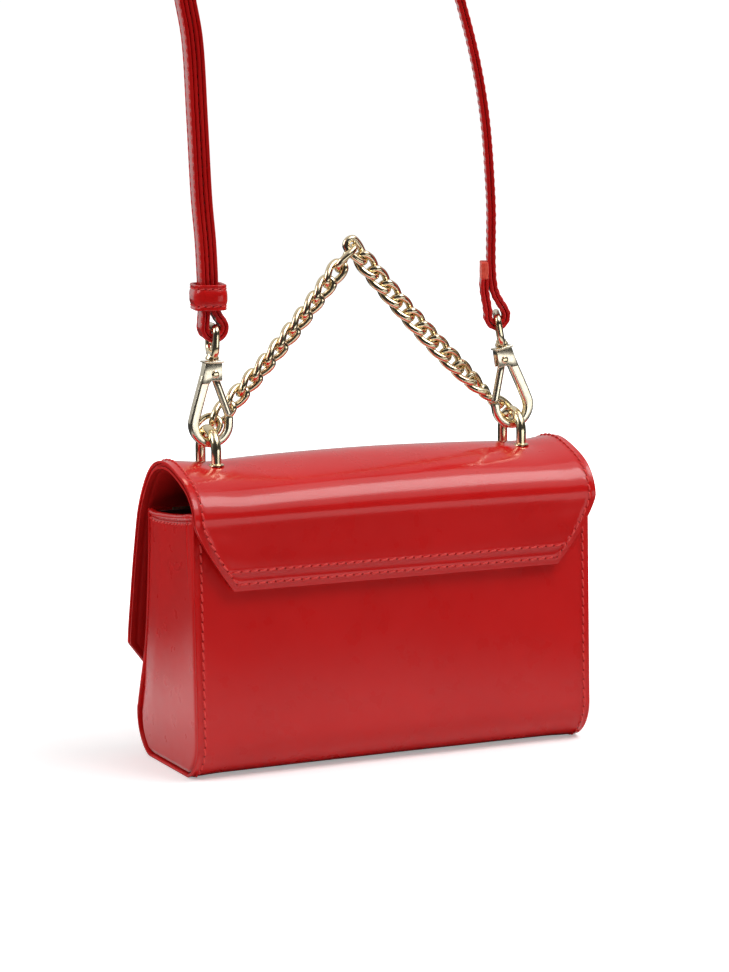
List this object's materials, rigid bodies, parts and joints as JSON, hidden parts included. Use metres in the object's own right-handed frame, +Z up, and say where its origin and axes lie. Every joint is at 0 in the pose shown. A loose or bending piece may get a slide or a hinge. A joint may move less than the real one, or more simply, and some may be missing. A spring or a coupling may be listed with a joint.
{
  "type": "clutch purse",
  "caption": "Small structured flap bag of glossy leather with a metal chain handle on two staples and a clip-on shoulder strap.",
  "frame": {"origin": "centre of the flat base, on its underside", "axes": "+Z up, -Y towards the front that the flap closes over, +Y towards the back, +X towards the left clip as seen from the back"},
  "size_m": [0.202, 0.0894, 0.4408],
  "materials": {
    "red_leather": "glossy patent",
    "raw_edge": "unfinished, matt",
    "board": "stiffening fibre board, matt",
    "lining_cloth": "woven cloth, matt",
    "pale_gold": "polished, pale gold plated",
    "steel": "nickel plated"
  },
  "bodies": {
    "body": {"wrap_panel": "red_leather", "gusset_left": "red_leather", "gusset_right": "red_leather", "front_board": "board", "base_board": "board", "back_board": "board", "lining": "lining_cloth", "snap_socket": "steel", "snap_socket_washer": "steel", "flap_tail": "red_leather"},
    "flap": {"flap_skin": "red_leather", "flap_board": "board", "flap_lining": "red_leather", "snap_stud": "steel", "snap_stud_washer": "steel", "staple_left": "pale_gold", "staple_right": "pale_gold", "staple_plate_left": "steel", "staple_plate_right": "steel"},
    "chain": {"chain_link_01": "pale_gold", "chain_link_02": "pale_gold", "chain_link_03": "pale_gold", "chain_link_04": "pale_gold", "chain_link_05": "pale_gold", "chain_link_06": "pale_gold", "chain_link_07": "pale_gold", "chain_link_08": "pale_gold", "chain_link_09": "pale_gold", "chain_link_10": "pale_gold", "chain_link_11": "pale_gold", "chain_link_12": "pale_gold", "chain_link_13": "pale_gold", "chain_link_14": "pale_gold", "chain_link_15": "pale_gold", "chain_link_16": "pale_gold", "chain_link_17": "pale_gold", "chain_link_18": "pale_gold", "chain_link_19": "pale_gold", "chain_link_20": "pale_gold", "chain_link_21": "pale_gold", "chain_link_22": "pale_gold", "chain_link_23": "pale_gold", "chain_link_24": "pale_gold", "chain_link_25": "pale_gold"},
    "strap": {"strap_face": "red_leather", "strap_backing": "red_leather", "strap_end_tab": "raw_edge", "strap_stud": "pale_gold", "swivel_eye_left": "pale_gold", "swivel_eye_right": "pale_gold"},
    "keeper": {"keeper": "red_leather"},
    "hook_left": {"hook_left": "pale_gold", "gate_rivet_left": "pale_gold", "gate_spring_left": "steel"},
    "hook_right": {"hook_right": "pale_gold", "gate_rivet_right": "pale_gold", "gate_spring_right": "steel"},
    "gate_left": {"gate_left": "pale_gold"},
    "gate_right": {"gate_right": "pale_gold"}
  },
  "joints": [
    {"name": "flap_lift", "type": "hinge", "parent": "body", "child": "flap", "pos_m": [0, 0.041, 0.111], "axis": [-1, 0, 0], "range_deg": [0, 110]},
    {"name": "chain_swing", "type": "hinge", "parent": "flap", "child": "chain", "pos_m": [0, 0, 0.1456], "axis": [1, 0, 0], "range_deg": [0, 50]},
    {"name": "strap_swing", "type": "hinge", "parent": "flap", "child": "strap", "pos_m": [0, 0, 0.1456], "axis": [-1, 0, 0], "range_deg": [0, 58]},
    {"name": "keeper_slide", "type": "slide", "parent": "strap", "child": "keeper", "axis": [0.035, 0, 0.9994], "range_m": [0, 0.018]},
    {"name": "swivel_left", "type": "hinge", "parent": "strap", "child": "hook_left", "pos_m": [0.078, 0.0031, 0.1491], "axis": [-0.0314, 0, 0.9995], "range_deg": [-8, 8]},
    {"name": "swivel_right", "type": "hinge", "parent": "strap", "child": "hook_right", "pos_m": [-0.078, 0.0031, 0.1491], "axis": [0.1822, 0, 0.9833], "range_deg": [-8, 8]},
    {"name": "gate_left_turn", "type": "hinge", "parent": "hook_left", "child": "gate_left", "pos_m": [0.0762, 0.0031, 0.18076], "axis": [0, -1, 0], "range_deg": [0, 20], "stiffness_Nm_per_rad": 0.004, "springref_deg": -20.05},
    {"name": "gate_right_turn", "type": "hinge", "parent": "hook_right", "child": "gate_right", "pos_m": [-0.07144, 0.0031, 0.18012], "axis": [0, 1, 0], "range_deg": [0, 20], "stiffness_Nm_per_rad": 0.004, "springref_deg": -20.05}
  ]
}
